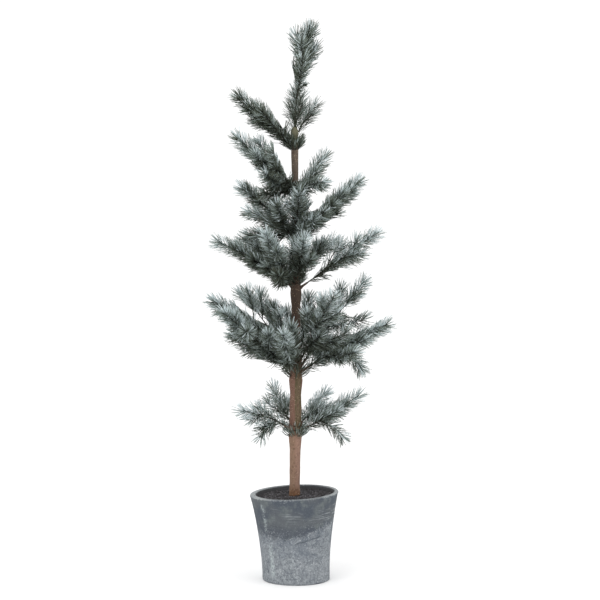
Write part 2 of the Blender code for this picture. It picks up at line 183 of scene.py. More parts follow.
# Twigs and needles
WIRE_RADIUS = 0.0013
WIRE_TIP_RADIUS = 0.0005
WIRE_SIDES = 6
NEEDLE_SEED = 3000  # added to a bough's seed
NEEDLE_PITCH = 0.00027  # along a twig, between needles
NEEDLE_LENGTH = 0.0230
NEEDLE_WIDTH = 0.00108
NEEDLE_SHARE = 0.42  # thickness against width
ROOT_ANGLES = (44, 68)  # between a needle's root and its twig
TIP_ANGLES = (22, 42)
NEEDLE_SPREAD = (0.78, 1.08)  # shares of NEEDLE_LENGTH
FOOT_LENGTH = 0.012  # near its foot a twig's needles are shorter
TIP_TUFT = 0.012  # near its end they fan out forwards
TUFT_NEEDLES = 12  # at the very end
TUFT_LENGTH = 0.003
# On the boughs below OPEN_BELOW the share of needles that grow rises from OPEN_LEAST to 1 over OPEN_WIDTH
OPEN_BELOW = 0.5
OPEN_NEAR = 0.004
OPEN_WIDTH = 0.034
OPEN_LEAST = 0.35

# How pale a needle is, in steps from one of NEEDLE_TONES to the next
TONE_MIDDLE = 2.8
TONE_UPWARD = 1.2  # added for a spray on a twig's upper side
TONE_ALONG = 0.7  # added from a twig's foot to its tip
TONE_FROST = 1.6  # added for each unit of a bough's frost
TONE_ABOVE = 0.8  # added for a needle that is ABOVE_FULL over its bough's stem, and taken off one as far under it: more frost above, painted shade below
ABOVE_FULL = 0.04
SPRAY_LUCK = 0.8  # how far sprays vary
NEEDLE_LUCK = 1.35  # how far needles in a spray vary
# Painted shade and frost, added from a bough's foot to its outside: the shaded core near the trunk is painted
# darker, the outer part paler with frost; heights, and how much on a bough at each
REACH_FROST_AND_SHADE = ((0.24, 0.34, 0.47, 0.55, 0.62, 0.69, 0.715), (4.6, 3.4, 4.4, 2.3, 2.6, 1.4, 2.0))
REACH_MIDDLE = 0.6  # the share of a bough where this neither darkens nor lightens
REACH_MOST = 0.95
# Twigs whose needles hold more or less frost than their bough's others
TWIG_FROST = {
    ("whorl3_front_left", 1): -1.9,
    ("whorl3_front_left", 6): -1.5,
    ("whorl2_front_left", 5): -0.7,
    ("whorl2_front_left", 1): 0.7,
}
# Twigs at the leader's top that make it broad: share along its stem, azimuth, pitch and length
TOP_TWIGS = ((0.66, 175, 80, 0.048), (0.78, 5, 68, 0.036))
LEADER_OPEN = 0.5  # how many of the leader's needles there are below its waist
# The boughs whose needles are thinner below the waist, and painted darker there as shade
THIN_BOUGHS = ("leader", "whorl6_right", "whorl6_back")
THINNER = 0.7
THIN_PAINTED_SHADE = -0.3
# Gaps between the boughs, as the camera sees them on the upright plane through the trunk: the ends of each
# one's middle line, as X and Z, and its half width
GAPS = (
    (-0.0973, 0.4516, -0.0480, 0.4178, 0.0035),
    (0.0205, 0.4933, 0.0604, 0.5254, 0.0025),
    (-0.0320, 0.7040, -0.0113, 0.6547, 0.0038),
    (0.0811, 0.4403, 0.0922, 0.4307, 0.0054),
    (0.0890, 0.4017, 0.1305, 0.4226, 0.0022),
    (0.0253, 0.6005, 0.0381, 0.6101, 0.0048),
    (-0.0145, 0.8353, -0.0097, 0.8069, 0.0054),
    (-0.0352, 0.7595, -0.0209, 0.7341, 0.0038),
    (0.0524, 0.5749, 0.0699, 0.5829, 0.0035),
    (0.0086, 0.7119, 0.0118, 0.6897, 0.0035),
    (-0.0623, 0.3549, -0.0400, 0.3452, 0.0035),
    (0.0508, 0.4965, 0.0858, 0.4981, 0.0029),
)
LEFT_OUT = (("whorl2_front", 2),)  # a twig of the source that would hide the trunk that the photo shows
WAIST = 0.794  # where the leader's needles are short, between its lower brush and its upper one
WAIST_DEPTH = 0.009
# The heights between which a whorl's own needles stand on the trunk, how many, and their tone
COLLARS = {
    "whorl1": (0.232, 0.250, 220, 3.0),
    "whorl2": (0.328, 0.344, 110, 1.6),
    "whorl3": (0.478, 0.512, 330, 1.2),
    "whorl4": (0.546, 0.566, 220, 1.6),
    "whorl5": (0.616, 0.634, 150, 1.6),
    "whorl6": (0.692, 0.710, 240, 1.7),
}
COLLAR_SEED = 4000
SPRAY_LENGTH = 0.012
MOST_TRIANGLES = 190000  # in one joined piece

# A bough as in the source: height, azimuth, rise at the middle, length, curl, roll and seed, then how many
# side twigs it has where that isn't worked out, a hanging twig's place along it and length, and whether its
# foot is a piece of its own. Added here: its frost, the bare stretch before its needles, and how far apart
# those stand
Bough = namedtuple(
    "Bough",
    "name height azimuth rise length curl roll seed frost twigs hang limb bare spaced",
    defaults=(None, None, True, 0, 1),
)

BOUGHS = (
    Bough("whorl1_left", 0.238, -150, 24, 0.110, -30, -60, 83, 0.8, hang=(0.38, 0.042), spaced=1.6),
    Bough("whorl1_back_left", 0.243, 115, 34, 0.105, 10, 0, 80, 0.2, spaced=1.6),
    Bough("whorl1_right", 0.238, 8, 30, 0.120, 10, -15, 61, 0.6, twigs=5, hang=(0.36, 0.049), spaced=1.25),
    Bough("whorl1_back_right", 0.243, 55, 30, 0.100, 0, -15, 14, 0.7, twigs=3, spaced=1.25),
    Bough("whorl2_left", 0.332, -161, 42, 0.190, -40, 75, 16, 0.3, twigs=4),
    Bough("whorl2_front_left", 0.334, -131, 34, 0.205, 0, -15, 30, 0.3),
    Bough("whorl2_back_left", 0.334, 140, 46, 0.170, -20, -90, 50, -0.2, twigs=5),
    Bough("whorl2_front", 0.337, -98, 26, 0.135, 0, 90, 52, -0.3, bare=0.055),
    Bough("whorl2_right", 0.332, -15, 30, 0.175, -10, 0, 52, 0.4, twigs=5, hang=(0.47, 0.053), spaced=1.1),
    Bough("whorl2_front_right", 0.336, -58, 50, 0.175, -10, -45, 70, 0.2, spaced=1.35),
    Bough("whorl2_back_right", 0.334, 29, 48, 0.190, -10, 45, 1, 0, spaced=1.2),
    Bough("whorl2_back", 0.337, 75, 56, 0.135, 10, 60, 66, -0.5, twigs=4),
    Bough("whorl3_left", 0.469, -160, 32, 0.155, -20, -15, 51, -0.2, twigs=2),
    Bough("whorl3_front_left", 0.472, -118, 44, 0.140, 20, -45, 9, 0.2, twigs=4),
    Bough("whorl3_back_left", 0.471, 145, 36, 0.125, -20, 15, 38, 0.1, twigs=5),
    Bough("whorl3_front", 0.476, -80, 48, 0.110, 0, -30, 32, 0.2),
    Bough("whorl3_right", 0.468, -7, 36, 0.160, 0, -45, 24, 0.4, twigs=5, bare=0.016, spaced=1.6),
    Bough("whorl3_back_right", 0.472, 55, 32, 0.130, -40, -30, 24, 0, twigs=4, spaced=1.35),
    Bough("whorl4_left", 0.546, -155, 44, 0.130, -20, 0, 64, 0.2, twigs=2),
    Bough("whorl4_back_left", 0.548, 135, 20, 0.115, -20, -45, 52, 0, twigs=3, limb=False),
    Bough("whorl4_right", 0.545, 5, 44, 0.140, 0, 0, 37, 0, twigs=6),
    Bough("whorl4_front", 0.551, -85, 52, 0.100, 0, -30, 16, 0.4, twigs=3, limb=False),
    Bough("whorl4_front_right", 0.549, -45, 38, 0.080, -10, 15, 29, 0.1, twigs=5, limb=False),
    Bough("whorl4_back", 0.549, 80, 42, 0.095, 0, 15, 63, 0, twigs=3, limb=False),
    Bough("whorl5_left", 0.616, -150, 44, 0.145, 0, -30, 64, 0.45, twigs=5, limb=False),
    Bough("whorl5_front_left", 0.620, -110, 38, 0.130, 20, 60, 78, -0.4, twigs=2, limb=False),
    Bough("whorl5_back_right", 0.620, 50, 38, 0.095, 0, -45, 8, 0.1, twigs=2, limb=False, spaced=1.2),
    Bough("whorl5_front_right", 0.618, -50, 22, 0.075, -30, 0, 10, 0.1, limb=False, spaced=1.4),
    Bough("whorl5_back_left", 0.620, 130, 40, 0.085, 10, -75, 9, 0, twigs=2, limb=False),
    Bough("whorl6_left", 0.691, -170, 44, 0.125, -10, -15, 36, -0.6, twigs=6, limb=False),
    Bough("whorl6_right", 0.694, 25, 62, 0.080, -40, 15, 35, -0.1, twigs=3, limb=False, spaced=1.2),
    Bough("whorl6_back", 0.696, 85, 70, 0.105, -10, -75, 26, 0, twigs=5, limb=False, spaced=1.6),
    Bough("leader", 0.715, 10, 82, 0.175, -15, -30, 136, -0.1, limb=False, bare=0.010, spaced=1.35),
)


def linear(red, green, blue):
    """A colour from its usual 0 to 255 numbers."""
    return tuple(((value / 255 + 0.055) / 1.055) ** 2.4 for value in (red, green, blue))


# From the shaded, unfrosted green to the palest frost
NEEDLE_TONES = (
    ("needles_deep", linear(60, 65, 54)),
    ("needles_dark", linear(78, 85, 73)),
    ("needles_green", linear(100, 108, 97)),
    ("needles_grey", linear(124, 134, 127)),
    ("needles_misty", linear(152, 164, 160)),
    ("needles_frosted", linear(184, 196, 196)),
    ("needles_pale", linear(214, 225, 227)),
)


# --- the growth rule ---


def trunk_centre(height):
    """The trunk's bowed axis."""
    along = (height - TRUNK_FOOT) / (TRUNK_TOP - TRUNK_FOOT)
    bow = TRUNK_BOW * math.sin(math.pi * min(max(along, 0), 1))
    return Vector((TRUNK_X + bow, 0, height))


def trunk_radius(height):
    heights, radii = zip(*TRUNK_RADII)
    return float(np.interp(height, heights, radii))


def heading(azimuth, pitch):
    """The unit vector at an azimuth and a pitch, both in degrees."""
    turn, climb = math.radians(azimuth), math.radians(pitch)
    return Vector((math.cos(climb) * math.cos(turn), math.cos(climb) * math.sin(turn), math.sin(climb)))


def path(root, ways, length):
    """The points from a root along these directions, in equal steps that add up to this length."""
    points = [root]
    for way in ways:
        points.append(points[-1] + way * length / len(ways))
    return points


def main_stem(bough):
    """The bough's main stem from the trunk's axis to its tip, as points and the directions between them."""
    shares = [(step + 0.5) / STEM_STEPS for step in range(STEM_STEPS)]
    ways = [heading(bough.azimuth, bough.rise + bough.curl * (share - 0.5)) for share in shares]
    return path(trunk_centre(bough.height), ways, bough.length), ways


def point_along(points, share):
    """The point at this share of the stem, and the step that it is in."""
    step = min(int(share * STEM_STEPS), STEM_STEPS - 1)
    return points[step].lerp(points[step + 1], share * STEM_STEPS - step), step


def sides_of(ahead, least=0.0):
    """Two directions across this one: a level one, unless it is this near upright, and one over that."""
    across = Vector((0, 0, 1)).cross(ahead)
    if across.length < least:
        across = Vector((1, 0, 0))
    across.normalize()
    return across, ahead.cross(across)


def bent_twig(root, ahead, outwards, splay, reach, steps):
    """A twig that leaves at this splay, in degrees, and bends forward."""
    ways = []
    for step in range(steps):
        angle = math.radians(splay * (1 - TWIG_FORWARD * (step + 0.5) / steps))
        ways.append(ahead * math.cos(angle) + outwards * math.sin(angle))
    return path(root, ways, reach)


def side_twigs(bough, points, ways, start):
    """Twigs on alternate sides of the stem past its start, shorter towards its tip and bending forward."""
    chance = random.Random(bough.seed)
    count = bough.twigs or max(2, round((LAST_TWIG - FIRST_TWIG) * bough.length / TWIG_PITCH) + 1)
    first_side = chance.choice((-1, 1))
    roll = math.radians(bough.roll)
    twigs = []
    for index in range(count):
        share = FIRST_TWIG + (LAST_TWIG - FIRST_TWIG) * index / (count - 1)
        share += chance.uniform(-PLACE_SPREAD, PLACE_SPREAD)
        share = max(share, start / bough.length + TWIG_INSET)
        side = first_side * (-1) ** index
        splay = TWIG_SPLAY + chance.uniform(-SPLAY_SPREAD, SPLAY_SPREAD)
        lift = math.radians(chance.uniform(-TWIG_LIFT, TWIG_LIFT))
        reach = TWIG_SHARE * (1 - share) * bough.length * chance.uniform(*REACH_SPREAD)
        if reach < TWIG_SHORTEST:
            continue
        root, step = point_along(points, share)
        level, above = sides_of(ways[step])
        across = level * math.cos(roll) + above * math.sin(roll)
        over = above * math.cos(roll) - level * math.sin(roll)
        outwards = across * math.cos(lift) * side + over * math.sin(lift)
        twigs.append(bent_twig(root, ways[step], outwards, splay, reach, TWIG_STEPS))
    return twigs


def hanging_twig(bough, points, start):
    """A twig that droops from under the stem, turned to the front."""
    share, reach = bough.hang
    azimuth = bough.azimuth + (HANG_TURN if abs(bough.azimuth) > 90 else -HANG_TURN)
    root, _ = point_along(points, max(share, start / bough.length + TWIG_INSET))
    pitches = [HANG_PITCH + HANG_DROOP * (step + 0.5) / TWIG_STEPS for step in range(TWIG_STEPS)]
    return path(root, [heading(azimuth, pitch) for pitch in pitches], reach)


def length_of(line):
    return sum((end - start).length for start, end in zip(line, line[1:]))


def subdivided(points, spacing):
    """The same line with points no further apart than this."""
    line = []
    for start, end in zip(points, points[1:]):
        count = max(1, math.ceil((end - start).length / spacing))
        line += [start.lerp(end, index / count) for index in range(count)]
    return line + [points[-1]]


def cut_back(points, length):
    """The line without its first stretch of this length."""
    for index, (start, end) in enumerate(zip(points, points[1:])):
        step = (end - start).length
        if length < step:
            return [start.lerp(end, length / step)] + points[index + 1 :]
        length -= step
    return points[-1:]


def stem_start(bough, points):
    """How far along its stem a bough leaves the trunk's skin."""
    length = 0.0
    while True:
        here = points[0].lerp(points[1], length * STEM_STEPS / bough.length)
        radius = max(trunk_radius(here.z + shift) for shift in (-LIMB_RADIUS, 0, LIMB_RADIUS))
        centre = trunk_centre(here.z)
        if math.hypot(here.x - centre.x, here.y - centre.y) >= radius + GAP:
            return length
        length += SKIN_STEP


class Space:
    """The lines of every mass, to keep each mass to its own space."""

    def __init__(self):
        self.points, self.owners = np.zeros((0, 3)), np.zeros(0, int)

    def add(self, owner, line):
        new = np.array(subdivided(line, LINE_SPACING))
        self.points = np.vstack([self.points, new])
        self.owners = np.append(self.owners, np.full(len(new), owner))

    def nearest(self, point, owner):
        """How near the point is to lines that aren't this owner's."""
        return np.linalg.norm(self.points[self.owners != owner] - np.array(point), axis=1).min()

    def free_part(self, twig, room, first=1, owner=None):
        """The twig up to where it has less room than this to the trunk or, from this point on, to lines."""
        for index, point in enumerate(twig[1:], 1):
            crowded = index >= first and self.nearest(point, owner) < room
            if crowded or trunk_clearance(point) < room:
                return twig[:index]
        return twig


def trunk_clearance(point):
    centre = trunk_centre(point.z)
    if point.z > TRUNK_TOP:
        return (point - trunk_centre(TRUNK_TOP)).length - TRUNK_RADII[-1][1]
    return math.hypot(point.x - centre.x, point.y - centre.y) - trunk_radius(point.z)


def grow_lines():
    """Each bough's lines: its stem from the trunk's skin first, then its twigs, kept clear of each other."""
    space, lines, starts = Space(), {}, {}
    for owner, bough in enumerate(BOUGHS):
        points, _ = main_stem(bough)
        start = GAP if bough.name == "leader" else stem_start(bough, points)
        stem = cut_back(points, start)
        if bough.limb:
            start += LIMB_LENGTH + GAP
            space.add(-1 - owner, stem[: len(stem) - len(cut_back(points, start)) + 1])
        space.add(owner, cut_back(points, start))
        lines[bough.name], starts[bough.name] = [stem], start
    for owner, bough in enumerate(BOUGHS):
        points, ways = main_stem(bough)
        start = starts[bough.name]
        twigs = side_twigs(bough, points, ways, start)
        if bough.hang:
            twigs.append(hanging_twig(bough, points, start))
        for twig in twigs:
            twig = space.free_part(twig, TWIG_ROOM, owner=owner)
            if len(twig) > LEAST_STEPS:
                lines[bough.name].append(twig)
                space.add(owner, twig)
    return space, lines


def fine_twigs(line, chance, space):
    """Short twigs on all sides of a line, where there is room, shorter towards its tip."""
    total = length_of(line)
    count = int((FINE_LAST - FINE_FIRST) * total / FINE_PITCH)
    turn = chance.uniform(0, 360)
    twigs = []
    for index in range(count):
        share = FINE_FIRST + (FINE_LAST - FINE_FIRST) * (index + chance.random()) / count
        reach = min(FINE_LONGEST, FINE_SHARE * (1 - share) * total * chance.uniform(*REACH_SPREAD))
        turn += GOLDEN_TURN
        splay = FINE_SPLAY + chance.uniform(-SPLAY_SPREAD, SPLAY_SPREAD)
        if reach < FINE_SHORTEST:
            continue
        rest = cut_back(line, share * total)
        ahead = (rest[1] - rest[0]).normalized()
        across, over = sides_of(ahead)
        outwards = across * math.cos(math.radians(turn)) + over * math.sin(math.radians(turn))
        twig = bent_twig(rest[0], ahead, outwards, splay, reach, FINE_STEPS)
        twig = space.free_part(twig, FINE_ROOM, FINE_LEAST + 1)
        if len(twig) > FINE_LEAST + 1:
            twigs.append(twig)
    return twigs


def carry_on(space, lines):
    """Gives every line its fine twigs, which end where a gap begins, and the leader its extra ones."""
    for owner, bough in enumerate(BOUGHS):
        chance = random.Random(FINE_SEED + bough.seed)
        for line in list(lines[bough.name]):
            for twig in fine_twigs(line, chance, space):
                inside = in_gap(np.array(twig))
                free = int(inside.argmax()) if inside.any() else len(twig)
                if free > FINE_LEAST:
                    space.add(owner, twig[:free])
                    lines[bough.name].append(twig[:free])
    stem = lines["leader"][0]
    for share, azimuth, pitch, reach in TOP_TWIGS:
        foot, way = cut_back(stem, share * length_of(stem))[0], heading(azimuth, pitch)
        lines["leader"].append([foot + way * reach * step / TWIG_STEPS for step in range(TWIG_STEPS + 1)])


# --- meshes ---


def placed(name, data, place=(0, 0, 0)):
    """A new object in the scene."""
    made = bpy.data.objects.new(name, data)
    made.location = place
    bpy.context.scene.collection.objects.link(made)
    return made


def array_object(name, places, corners, starts, finishes, tones=()):
    """A smooth object from arrays: places, the corners of all faces on end, where each face starts, and which
    finish each has."""
    mesh = bpy.data.meshes.new(name)
    mesh.vertices.add(len(places))
    mesh.vertices.foreach_set("co", np.asarray(places, np.float32).ravel())
    mesh.loops.add(len(corners))
    mesh.loops.foreach_set("vertex_index", np.asarray(corners, np.int32))
    mesh.polygons.add(len(starts))
    mesh.polygons.foreach_set("loop_start", np.asarray(starts, np.int32))
    for finish in finishes:
        mesh.materials.append(finish)
    if len(tones):
        mesh.polygons.foreach_set("material_index", np.asarray(tones, np.int32))
    mesh.update(calc_edges=True)
    mesh.shade_smooth()
    return placed(name, mesh)


def mesh_object(name, shapes, finish):
    """One smooth object from shapes, each a list of places and the faces between them."""
    places, corners, starts = [], [], []
    for shape_places, faces in shapes:
        for face in faces:
            starts.append(len(corners))
            corners += [len(places) + corner for corner in face]
        places += shape_places
    return array_object(name, places, corners, starts, [finish])


def grid_faces(rows, sides):
    """Quads between rings of vertices, each ring running round counterclockwise seen from beyond the last."""
    faces = []
    for low in range(0, (rows - 1) * sides, sides):
        for side in range(sides):
            after = (side + 1) % sides
            faces.append((low + side, low + after, low + sides + after, low + sides + side))
    return faces


def rough(place, size, seed):
    """Smooth noise from -1 to 1 whose bumps are about this size."""
    return noise.noise(Vector(place) / size + Vector((seed, 2 * seed, -seed)))


def closed_tube(line, radii, sides, relief=None):
    """A tube along a line, closed at both ends. relief gives each place's extra radius."""
    places = []
    for index, (point, radius) in enumerate(zip(line, radii)):
        ahead = (line[min(index + 1, len(line) - 1)] - line[max(index - 1, 0)]).normalized()
        across, over = sides_of(ahead, 0.01)
        for side in range(sides):
            angle = 2 * math.pi * side / sides
            out = across * math.cos(angle) + over * math.sin(angle)
            place = point + out * radius
            if relief:
                place += out * relief(place, angle, index)
            places.append(place)
    last = (len(line) - 1) * sides
    ends = [tuple(reversed(range(sides))), tuple(range(last, last + sides))]
    return places, grid_faces(len(line), sides) + ends


# --- materials ---


class Pattern:
    """A number that varies over a material: sums and products with numbers and with other patterns."""

    def __init__(self, finish, output):
        self.finish, self.output = finish, output

    def maths(self, operation, other=0):
        made = self.finish.node("Math")
        made.operation = operation
        self.finish.put(made.inputs[0], self)
        self.finish.put(made.inputs[1], other)
        return Pattern(self.finish, made.outputs["Value"])

    def __add__(self, other):
        return self.maths("ADD", other)

    def __sub__(self, other):
        return self.maths("SUBTRACT", other)

    def __mul__(self, other):
        return self.maths("MULTIPLY", other)

    def __abs__(self):
        return self.maths("ABSOLUTE")

    def step(self, low, high, start=0, end=1):
        """Eased from start, where the pattern is at low, to end, where it is at high."""
        made = self.finish.node("MapRange", From_Min=low, From_Max=high, To_Min=start, To_Max=end, Value=self)
        made.interpolation_type = "SMOOTHSTEP"
        return Pattern(self.finish, made.outputs["Result"])

    def between(self, low, full, fading, high):
        """0 up to low and past high, and 1 from full to fading."""
        return self.step(low, full) * self.step(fading, high, 1, 0)


class Finish:
    """A Principled material and short ways to drive it from patterns in the object's own coordinates. A
    colour is a mix of two others, or red, green and blue from 0 to 255."""

    def __init__(self, name, colour, roughness, specular=0.3):
        self.material = bpy.data.materials.new(name)
        self.material.diffuse_color = (*colour, 1)
        self.material.use_nodes = True
        self.tree = self.material.node_tree
        self.shader = self.tree.nodes["Principled BSDF"]
        self.feed(self.shader, Base_Color=(*colour, 1), Roughness=roughness, Specular_IOR_Level=specular)
        self.place = self.node("TexCoord").outputs["Object"]

    def put(self, socket, value):
        """Sets a socket, or links it to a node's output."""
        value = getattr(value, "output", value)
        if isinstance(value, bpy.types.NodeSocket):
            self.tree.links.new(value, socket)
        else:
            socket.default_value = value

    def feed(self, made, **inputs):
        """A node with these of its inputs set or linked, each named with _ for a space."""
        for name, value in inputs.items():
            self.put(made.inputs[name.replace("_", " ")], value)
        return made

    def node(self, kind, **inputs):
        return self.feed(self.tree.nodes.new("ShaderNode" + kind), **inputs)

    def axes(self):
        """The object's coordinates."""
        return [Pattern(self, output) for output in self.node("SeparateXYZ", Vector=self.place).outputs]

    def noise(self, scale, detail=3, rough=0.55, stretch=None):
        """Noise with about this many bumps a metre, or a different number on each axis."""
        place = self.place
        if stretch:
            place = self.node("Mapping", Vector=place, Scale=stretch).outputs["Vector"]
        made = self.node("TexNoise", Vector=place, Scale=scale, Detail=detail, Roughness=rough)
        return Pattern(self, made.outputs["Fac"])

    def cells(self, scale):
        return Pattern(self, self.node("TexVoronoi", Vector=self.place, Scale=scale).outputs["Distance"])

    def mix(self, share, first, second):
        """A colour between two."""
        made = self.node("Mix")
        made.data_type = "RGBA"
        for index, value in ((0, share), (6, first), (7, second)):
            self.put(made.inputs[index], (*linear(*value), 1) if isinstance(value, tuple) else value)
        return made.outputs[2]

    def layers(self, colour, *layers):
        """A colour with others laid over it: for each the pattern that deals it out, the pattern's low and
        high values, the colour's share at each, and the colour itself."""
        for pattern, low, high, start, end, over in layers:
            colour = self.mix(pattern.step(low, high, start, end), colour, over)
        return colour

    def seen_from(self, azimuth):
        """How far aside and how far out each place is for someone who looks at the axis from this azimuth."""
        across, along, _ = self.axes()
        turn = math.radians(azimuth)
        aside = along * math.cos(turn) - across * math.sin(turn)
        return aside, across * math.cos(turn) + along * math.sin(turn)

    def finished(self, roughness, colour=None, bump=None):
        """The material with these linked. bump is a pattern, its depth and its strength."""
        self.feed(self.shader, Roughness=roughness)
        if colour:
            self.feed(self.shader, Base_Color=colour)
        if bump:
            height, depth, strength = bump
            made = self.node("Bump", Strength=strength, Distance=depth, Height=height)
            self.feed(self.shader, Normal=made.outputs["Normal"])
        return self.material


def needle_finish(name, colour):
    """Matte moulded plastic: a plain base colour, with a roughness that varies."""
    skin = Finish(name, colour, 0.7, 0.25)
    return skin.finished(skin.noise(260).step(0.35, 0.65, 0.55, 0.85))


def wire_finish():
    """Twigs wrapped in dark olive-brown paper tape."""
    skin = Finish("twig_tape", linear(50, 47, 38), 0.85)
    return skin.finished(skin.noise(300).step(0.3, 0.7, 0.7, 0.95))


def bark_finish():
    """Paper-wrapped bark: pinkish tan low down, olive and then dark brown higher, grey-brown at the top."""
    skin = Finish("wrapped_bark", linear(150, 112, 96), 0.85)
    across, _, height = skin.axes()
    height += skin.noise(30) * 0.02
    fibres = skin.noise(1, 5, 0.6, (420, 420, 60))
    tan = skin.mix(fibres, (108, 85, 68), (145, 117, 99))
    pink = skin.mix(fibres, (112, 86, 72), (150, 120, 105))
    red = abs(across - OLIVE_X).step(0.0035, 0.0075) + skin.noise(110)
    middle = skin.layers(
        (82, 72, 50),
        (red, 0.65, 1.1, 0, 1, (112, 82, 70)),
        (fibres, 0.42, 0.60, 0, 0.5, (114, 92, 78)),
    )
    colour = skin.layers(
        skin.mix(across.step(-0.004, 0.001), tan, pink),
        (height, 0.236, 0.262, 0, 1, middle),
        (height, 0.330, 0.380, 0, 1, skin.mix(fibres, (54, 43, 36), (80, 65, 54))),
        (height, 0.600, 0.670, 0, 1, skin.mix(fibres, (80, 70, 60), (102, 90, 80))),
        (height, 0.150, 0.168, 1, 0, skin.mix(fibres, (92, 66, 42), (118, 86, 64))),
    )
    specks = skin.cells(340).step(0.16, 0.30, 0.48, 0) * skin.noise(120).step(0.42, 0.56)
    colour = skin.mix(specks, colour, (196, 172, 146))
    colour = skin.layers(colour, (skin.noise(310, 3, 0.6), 0.57, 0.62, 0, 0.55, (70, 48, 38)))
    return skin.finished(fibres.step(0.3, 0.7, 0.72, 0.92), colour, (fibres, 0.0004, 0.6))


def pot_finish():
    """A weathered cement skin: slate above, chalky and mottled below, with marks, a worn rim and painted
    shade on the inner wall.
    """
    skin = Finish("weathered_pot", linear(92, 98, 104), 0.9, 0.2)
    fine, crumbs = skin.noise(330, 6, 0.75), skin.noise(560, 4, 0.7)
    colour = zones(skin, fine, crumbs)
    colour = scratches(skin, colour)
    colour = streaks(skin, colour)
    colour = cracks(skin, colour)
    colour = worn_rim(skin, crumbs, colour)
    # painted shade on the inner wall above the fill
    colour = painted_inner_shade(skin, fine, crumbs, colour)
    bump = skin.noise(600, 6, 0.7)
    return skin.finished(skin.noise(120, 4).step(0.3, 0.7, 0.78, 0.96), colour, (bump, 0.0007, 0.6))


def zones(skin, fine, crumbs):
    """Slate over a mottled zone whose ragged edge rises to the right, with chalk along it and below it."""
    across, along, height = skin.axes()
    slate = skin.layers(
        (74, 80, 88),
        (skin.noise(20, 2), 0.40, 0.60, 0, 1, (86, 90, 94)),
        (skin.noise(52, 5, 0.6), 0.48, 0.68, 0, 1, (98, 104, 105)),
        (fine, 0.32, 0.46, 0.5, 0, (60, 65, 73)),
        (crumbs, 0.58, 0.68, 0, 0.3, (140, 148, 150)),
    )
    slate = skin.mix(height.between(0.074, 0.082, 0.088, 0.100) * 0.7, slate, (72, 77, 85))
    mottled = skin.layers(
        (98, 103, 109),
        (skin.noise(110, 6, 0.75), 0.30, 0.70, 0, 1, (147, 152, 155)),
        (skin.noise(22), 0.48, 0.66, 0, 0.6, (138, 142, 146)),
        (skin.noise(48, 5, 0.65), 0.50, 0.64, 0, 0.55, (100, 106, 112)),
        (fine, 0.36, 0.50, 0.70, 0, (74, 80, 88)),
    )
    dim = height.step(0.036, 0.052) * skin.noise(26, 4).step(0.38, 0.58, 0, 0.55)
    mottled = skin.mix(dim, mottled, (92, 99, 108))
    edge = height - (across - CHALK_RISE_FROM).maths("MAXIMUM") * CHALK_RISE + along * 0.10
    for *bumps, depth in ((16, 3, 0.55, 0.022), (90, 5, 0.7, 0.036), (260, 6, 0.8, 0.044)):
        edge -= skin.noise(*bumps) * depth
    lower = edge.step(0.016, 0.028, 1, 0)
    chalk = crumbs.step(0.52, 0.62) * fine.step(0.46, 0.58)
    chalk *= edge.between(0.008, 0.024, 0.026, 0.048) * 0.30 + lower * 0.50
    return skin.mix(chalk, skin.mix(lower, slate, mottled), (204, 209, 211))


def scratches(skin, colour):
    """Level scratches, mostly on the right: pale ones in a band under the rim, dark ones at any height."""
    across, _, height = skin.axes()
    lines = skin.noise(1, 3, 0.55, (34, 34, 460))
    where = (skin.noise(40, 2) + across * 2.6).step(0.44, 0.60)
    pale = lines.step(0.53, 0.62, 0, 0.62) * height.between(0.100, 0.110, 0.126, 0.132) * where
    colour = skin.mix(pale, colour, (152, 159, 162))
    return skin.mix(lines.step(0.30, 0.40, 0.35, 0) * where, colour, (60, 66, 74))


def worn_rim(skin, crumbs, colour):
    """Pale chips near the rim, and a pale worn edge on it that is fainter at the front and the back."""
    across, _, height = skin.axes()
    top = height - across * RIM_TILT
    chips = top.step(0.1345, 0.1415) * crumbs.step(0.52, 0.62) * skin.noise(60).step(0.46, 0.56, 0, 0.7)
    colour = skin.mix(chips, colour, (176, 182, 184))
    worn = (top + skin.noise(140, 5, 0.7) * 0.005).step(0.1424, 0.1442) * crumbs.step(0.36, 0.58, 0.45, 1)
    return skin.mix(worn * abs(across).step(0.030, 0.064, 0.38, 1), colour, (158, 162, 163))


def painted_inner_shade(skin, fine, crumbs, colour):
    """Painted shade: the inner wall above the fill, darkened."""
    across, along, height = skin.axes()
    across -= POT_LEAN + OPENING_ASIDE
    radius = (across * across + along * along).maths("SQRT") + fine * 0.002
    inside = radius.step(0.0638, 0.0652, 1, 0) * height.step(0.118, 0.122)
    return skin.mix(inside, colour, skin.mix(crumbs, (48, 48, 50), (78, 78, 80)))


# azimuth, lowest and highest point of each pale streak on the pot, its half width and how strong it is
STREAKS = (
    (-140, 0.080, 0.134, 0.0056, 0.60),
    (-133, 0.006, 0.068, 0.0070, 0.80),
    (28, 0.030, 0.120, 0.0044, 0.60),
    (95, 0.070, 0.134, 0.0050, 0.60),
    (150, 0.012, 0.080, 0.0070, 0.60),
)


def streaks(skin, colour):
    """Pale vertical runs on one side each, wavering and broken up."""
    wander = (skin.noise(90, 5, 0.75) - 0.5) * 0.014
    broken = skin.noise(300, 5, 0.75).step(0.42, 0.60)
    height = skin.axes()[2]
    for azimuth, low, high, width, strength in STREAKS:
        aside, outward = skin.seen_from(azimuth)
        share = abs(wander - aside).step(0, width, strength, 0) * broken * outward.step(0, 0.01)
        share *= height.between(low, low + 0.008, high - 0.008, high)
        colour = skin.mix(share, colour, (176, 186, 186))
    return colour


# azimuth and height of the middle of each dark hairline on the pot, its slope, its reach either side of the
# middle, and how thick it is
CRACKS = (
    (-70, 0.0735, 0.24, 0.028, 0.0010),
    (-120, 0.0960, -0.08, 0.014, 0.0005),
    (40, 0.0620, -0.20, 0.024, 0.0009),
    (130, 0.0780, 0.18, 0.022, 0.0009),
)


